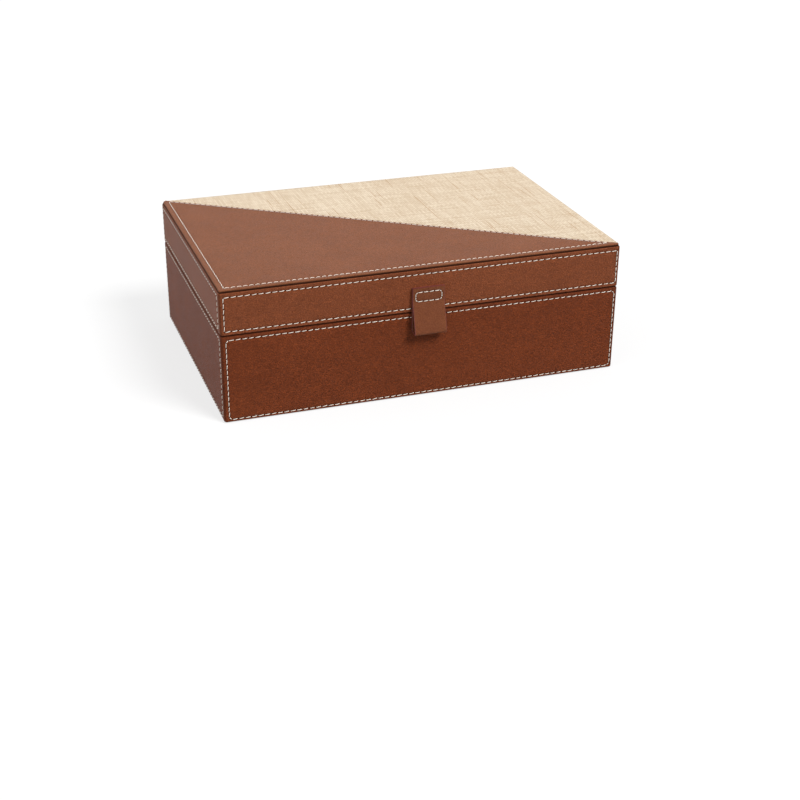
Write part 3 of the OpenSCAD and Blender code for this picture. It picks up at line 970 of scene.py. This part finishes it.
def dress_top():
    """The leather and the raffia halves of the top, which meet along the slanting line."""
    x0 = min(RAFFIA_LOW.x, COVER_LOW.x)
    x1 = COVER_HIGH.x
    y0 = COVER_LOW.y
    y1 = RAFFIA_HIGH.y
    back = Vector((-HALF_W + SLANT_BACK, HALF_D))
    front = Vector((HALF_W, -HALF_D + SLANT_FRONT))
    slope = (front - back).normalized()
    inward = Vector((slope.y, -slope.x))

    def on_slant(axis, value, offset):
        """Where the slanting line, moved this far into the leather, has this x (axis 0) or y (axis 1)."""
        start = back + inward * offset
        return start + slope * ((value - start[axis]) / slope[axis])

    def cross_arc(centre, radius, degrees):
        """Where the slanting line crosses the tangent of an arc at this angle."""
        out = Vector((math.cos(math.radians(degrees)), math.sin(math.radians(degrees))))
        along = Vector((-out.y, out.x))
        start = centre + out * radius
        return start + along * ((back - start).cross(slope) / along.cross(slope))

    # Two corners are large arcs, which the slanting line cuts off at their ends.
    front_arc = Vector((x1 - FRONT_R, y0 + FRONT_R)), FRONT_R
    back_arc = Vector((x0 + BACK_R, y1 - BACK_R)), BACK_R
    corners = [Vector((x0, y0))]
    corners += round_arc(*front_arc, (-90, -68, -46, -24))
    corners += [cross_arc(*front_arc, -24), cross_arc(*back_arc, 112)]
    corners += round_arc(*back_arc, (112, 146, 180))
    near_corner = (TOP_COLUMN, TOP_ROW)
    left_end = on_slant(0, TOP_COLUMN, SLANT_ROW)
    row_end = on_slant(1, TOP_ROW, SLANT_ROW)
    runs = [
        Run(near_corner, row_end, pitch=4.36),
        Run(near_corner, left_end, pitch=4.4, lean=-LEAN),
        Run(left_end, row_end, pitch=4.4),
    ]
    thick = COVER_HIGH.z - BOARD_TOP
    place = (Vector((0, 0, BOARD_TOP)), X, Y, Z)

    def padding(u, v, edge):
        return 0.04 * swell(u, v, 17) - 0.03

    edge = rolled(1.0, thick)
    radii = (1.6, FRONT_R, FRONT_R, FRONT_R, 0.2, 0.2, BACK_R, BACK_R)
    cover = panel("top_leather", corners, radii, edge, place, "top", 1.1, 3.2, runs, relief=padding)
    put_on(cover, "lid", "box_leather", "top_leather_panel")
    on_top = (Vector((0, 0, COVER_HIGH.z - TOP_SINK)), X, Y, Z)
    sew("top_stitching", [(runs, on_top)], "lid", "box_leather")
    corners = [on_slant(0, x1, TUCK), Vector((x1, y1)), on_slant(1, y1, TUCK)]
    edge = rolled(0.5, RAFFIA_HIGH.z - BOARD_TOP)
    cloth = panel("top_raffia", corners, (0.8, 1.2, 0.3), edge, place, "raffia", 2.0, 5.0)
    put_on(cloth, "lid", "raffia", "top_raffia_panel")


def padded_panel(node, body, out, roll):
    """A suede lining glued over thin padding, in the space of its node."""
    low, high = cad_box(node)
    middle = (low + high) / 2
    size = high - low
    right = X if abs(out.x) < 0.5 else Y
    up = out.cross(right)
    half_r = abs(size.dot(right)) / 2
    half_u = abs(size.dot(up)) / 2
    thick = abs(size.dot(out))
    origin = middle - out * (thick / 2)
    corners = rectangle(-half_r, -half_u, half_r, half_u)
    corners = [c * (1 - 0.04 / max(half_r, half_u)) for c in corners]

    def puff(u, v, edge):
        rise = CROWN * (1 - np.exp(-edge / 9.0))
        return rise + 0.05 * swell(u, v, 13) - 0.05

    profile = rolled(roll, thick - CROWN)
    piece = panel(node + "_suede", corners, [0.8] * 4, profile, (origin, right, up, out), "suede",
                  3.0, 4.5, relief=puff)
    put_on(piece, body, "lining_suede", node)


def dress_linings():
    """The linings of the walls and the pads, in the box and in the lid."""
    inwards = {"front": Y, "back": -Y, "left": X, "right": -X}
    for body in ("base", "lid"):
        for wall, inward in inwards.items():
            padded_panel(f"{body}_{wall}_lining", body, inward, LINING_ROLL)
    padded_panel("base_floor_pad", "base", Z, PAD_ROLL)
    padded_panel("lid_pad", "lid", -Z, PAD_ROLL)


def dress_underside():
    """The suede glued under the box."""
    low, high = cad_box("underside_cover")
    corners = rectangle(low.x, -high.y, high.x, -low.y)
    thick = high.z - low.z
    place = (Vector((0, 0, high.z)), X, -Y, -Z)
    piece = panel("underside_suede", corners, [3.0] * 4, rolled(0.5, thick), place, "suede", 3.0, 6.0)
    put_on(piece, "base", "lining_suede", "underside_cover")


# ---------- pull tab ----------

def bent(corners, radii, step):
    """Points along a line through these corners, each rounded by its radius."""
    line = []
    start = corners[0]
    for before, corner, after, radius in zip(corners, corners[1:], corners[2:], radii):
        into = (corner - before).normalized()
        away = (after - corner).normalized()
        turn = into.angle_signed(away)
        reach = radius * math.tan(abs(turn) / 2)
        first = corner - into * reach
        last = corner + away * reach
        line += [start.lerp(first, f) for f in spread(0, 1, step / (first - start).length)[:-1]]
        for f in spread(0, 1, step / max(radius * abs(turn), step))[:-1]:
            a = first.lerp(corner, f)
            b = corner.lerp(last, f)
            line.append(a.lerp(b, f))
        start = last
    line += [start.lerp(corners[-1], f) for f in spread(0, 1, step / (corners[-1] - start).length)]
    return line


def tab_path():
    """Middle line of the folded strip in the plane of Y and Z: down the outer layer, round the fold and
    up the inner layer."""
    t = (TAB_HIGH.y - TAB_LOW.y) / 2
    top = TAB_HIGH.z
    sewn = TAB_LOW.z
    low = LOOP_LOW.z + t / 2
    corners = [
        Vector((-HALF_D - 1.5 * t, top)),
        Vector((-HALF_D - 1.5 * t, sewn + 0.2)),
        Vector((-HALF_D - TAB_REACH + t / 2, low)),
        Vector((LOOP_HIGH.y - t / 2, low + 1.4)),
        Vector((LOOP_HIGH.y - t / 2 - 0.1, sewn - 5)),
        Vector((-HALF_D - 0.5 * t, sewn + 0.2)),
        Vector((-HALF_D - 0.5 * t, top)),
    ]
    return bent(corners, TAB_BENDS, 0.5), t


def smooth_line(line, rounds):
    for _ in range(rounds):
        line = [line[0]] + [(line[i - 1] + 2 * line[i] + line[i + 1]) / 4
                            for i in range(1, len(line) - 1)] + [line[-1]]
    return line


def tab_runs():
    """The stitched rectangle on the sewn end, with cut corners."""
    x = TAB_HIGH.x - 2.3
    z1 = TAB_HIGH.z - 3.2
    z0 = TAB_HIGH.z - 10.2
    cut = 1.4
    lean = LEAN * 0.7
    runs = [Run((-x + cut, z), (x - cut, z), pitch=4.3, lean=lean) for z in (z0, z1)]
    runs += [Run((s, z0 + cut), (s, z1 - cut), pitch=2.6, lean=-lean) for s in (-x, x)]
    return runs + corner_runs(-x, x, z0, z1, cut, stitch=1.7)


def tab_ring(half, t, runs):
    """The strip's cross-section: for each point its place across, its height over the middle line and
    whether skin or cut edge shows there."""
    side = half - TAB_EDGE_R
    columns = {-side, side, 0.0}
    for run in runs:
        columns |= {round(run.start.x + f, 3) for f in (-1.2, -0.7, -0.35, 0, 0.35, 0.7, 1.2)}
    columns |= set(np.round(spread(-side, side, 1.6), 3))
    columns = sorted(c for c in columns if -side <= c <= side)
    angles = np.linspace(0, math.pi / 2, 4)[1:]
    round_off = [(side + TAB_EDGE_R * math.sin(a), t / 2 - TAB_EDGE_R + TAB_EDGE_R * math.cos(a))
                 for a in angles]
    ring = [(x, t / 2, "skin") for x in columns]
    ring += [(x, h, "edge") for x, h in round_off] + [(x, -h, "edge") for x, h in round_off[::-1]]
    ring += [(x, -t / 2, "skin") for x in columns[::-1]]
    ring += [(-x, -h, "edge") for x, h in round_off] + [(-x, h, "edge") for x, h in round_off[::-1]]
    return ring


def dress_tab():
    """One strip folded back on itself and sewn through both layers."""
    line, t = tab_path()
    line = smooth_line(line, 3)
    half = TAB_HIGH.x
    runs = tab_runs()
    ring = tab_ring(half, t, runs)
    count = len(ring)
    xs = np.array([p[0] for p in ring])
    points = []
    near_all = []
    count_all = []
    sewn_z = TAB_LOW.z
    for i, spot in enumerate(line):
        ahead = line[min(i + 1, len(line) - 1)] - line[max(i - 1, 0)]
        ahead.normalize()
        out = Vector((ahead.y, -ahead.x))
        near, number = thread_fields(xs, np.full(count, spot.y), runs)
        show = i < len(line) / 2 and spot.y > sewn_z + 0.4
        for k, (x, h, kind) in enumerate(ring):
            n = near[k] if show and kind == "skin" and h > 0 else 0.0
            sink = float(press(np.array([n]))[0]) * 0.9 if n > 0 else 0.0
            wave = 0.06 * math.sin(x * 0.31 + spot.y * 0.17) if not show else 0.0
            edge = 1 if abs(x) > half - 0.2 else 0
            at = spot + out * (h - sink * (h > 0) + wave)
            points.append((x - 0.04 * edge * math.sin(spot.y * 1.3), at.x, at.y))
            near_all.append(n)
            count_all.append(number[k])
    raw = [int("edge" in (ring[k][2], ring[(k + 1) % count][2])) for k in range(count)]
    kinds = raw * (len(line) - 1) + [1, 1]
    fields = {"thread_near": near_all, "thread_count": count_all}
    faces = ring_faces(0, len(line), count)
    tab = make_piece("pull_tab", points, faces, ["tab", "edge"], fields, sharp=50, kinds=kinds)
    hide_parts("pull_tab_end", "pull_tab_loop")
    crease_y = (-HALF_D - t - CREASE_GAP) * MM
    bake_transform(tab)
    surface = Vector((0, -HALF_D - 2 * t + TAB_SINK, 0))
    sew("tab_stitching", [(runs, (surface, X, Z, -Y))], "lid", "tab_leather")


# ---------- boards and hinges, which keep the frame's own shapes ----------

def dress_frame_nodes():
    """Finishes and softened edges for the boards, hinges, pins and screws."""
    for name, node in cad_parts.items():
        if node.hide_render:
            continue
        if name.endswith("board") or name.endswith("rail"):
            finish, slot, soften = "board", "board", 0.3
        elif name.endswith("screws"):
            finish, slot, soften = "screw", "brass", 0.06
        else:
            finish, slot, soften = "brass", "brass", 0.12
        node.data.materials.clear()
        node.data.materials.append(FINISHES[finish])
        bevel = node.modifiers.new("soft edges", "BEVEL")
        bevel.width = soften * MM
        bevel.segments = 2
        bevel.limit_method = "ANGLE"
        bevel.angle_limit = math.radians(40)


# ---------- studio ----------

def stage_material(name, grey, lift):
    """A matt surface that the camera sees lifted towards white, shadows included."""
    paper = Finish(name)
    colour = (grey, grey, grey)
    tone = paper.noise(paper.place(), 400, 2)
    paper.set(Base_Color=paper.mix(tone, colour, scaled(colour, 0.99)), Roughness=0.9,
              Specular_IOR_Level=0.0)
    glow = paper.node("ShaderNodeEmission", {}, {"Color": (1, 1, 1), "Strength": paper.seen() * lift})
    lit = Field(paper, paper.shader.outputs[0])
    whole = paper.node("ShaderNodeAddShader", {}, {0: lit, 1: glow})
    paper.feed(paper.tree.nodes["Material Output"].inputs["Surface"], whole)
    return paper.material


def build_stage():
    """A pale floor that runs far behind the box."""
    radius, sides = 9, 64
    angles = np.linspace(0, 2 * math.pi, sides + 1)[:-1]
    ring = [Vector((math.cos(a), math.sin(a), 0)) * radius for a in angles]
    mesh = bpy.data.meshes.new("studio_floor")
    mesh.from_pydata(ring, [], [tuple(range(sides))])
    mesh.materials.append(stage_material("pale_floor", 0.24, 0.725))
    floor = add_object("studio_floor", mesh)


def build_world():
    """Soft white surroundings: the camera and reflections see white, surfaces get a plain level."""
    world = bpy.data.worlds.new("white_studio")
    bpy.context.scene.world = world
    world.use_nodes = True
    sky = Shading(world.node_tree)
    back = sky.tree.nodes["Background"]
    levels = {"Value": sky.seen(), "To Min": AMBIENT, "To Max": 1.0}
    sky.feed(back.inputs["Color"], (1, 1, 1))
    sky.feed(back.inputs["Strength"], sky.node("ShaderNodeMapRange", {}, levels))


def soft_light(name, toward, level, softness, glossy=True):
    """A broad soft lamp far away that gives a surface facing it this level, where 1 shows a colour as
    it is written. Without glossy it leaves no reflection of its own."""
    lamp = bpy.data.lights.new(name, "SUN")
    lamp.energy = level * math.pi
    lamp.angle = math.radians(softness)
    made = add_object(name, lamp)
    made.visible_glossy = glossy
    made.rotation_euler = Vector(toward).to_track_quat("Z", "Y").to_euler()


def build_camera():
    """The photograph's viewpoint, found from the box's own edges."""
    camera = bpy.data.cameras.new("view")
    camera.sensor_width = 36
    camera.lens = 65.81
    place = (-0.34050, -1.01598, 0.47741)
    turn = math.radians(-19.290)
    tilt = math.radians(26.297)
    roll = math.radians(0.455)
    ahead = Vector((-math.sin(turn) * math.cos(tilt), math.cos(turn) * math.cos(tilt), -math.sin(tilt)))
    level = ahead.cross(Z).normalized()
    plumb = level.cross(ahead)
    right = level * math.cos(roll) + plumb * math.sin(roll)
    up = plumb * math.cos(roll) - level * math.sin(roll)
    made = add_object("view", camera)
    frame_of_view = Matrix((right, up, -ahead)).transposed().to_4x4()
    made.matrix_world = Matrix.Translation(place) @ frame_of_view
    bpy.context.scene.camera = made


dress_bands()
dress_top()
dress_linings()
dress_underside()
dress_tab()
dress_frame_nodes()
build_stage()
build_world()
soft_light("key_light", (0.36, -0.56, 0.72), level=0.98, softness=24)
soft_light("fill_light", (-0.88, -0.22, 0.42), level=0.24, softness=60)
soft_light("back_light", (-0.15, 0.96, 0.20), level=0.24, softness=60, glossy=False)
build_camera()
bpy.context.scene.view_settings.view_transform = "Standard"
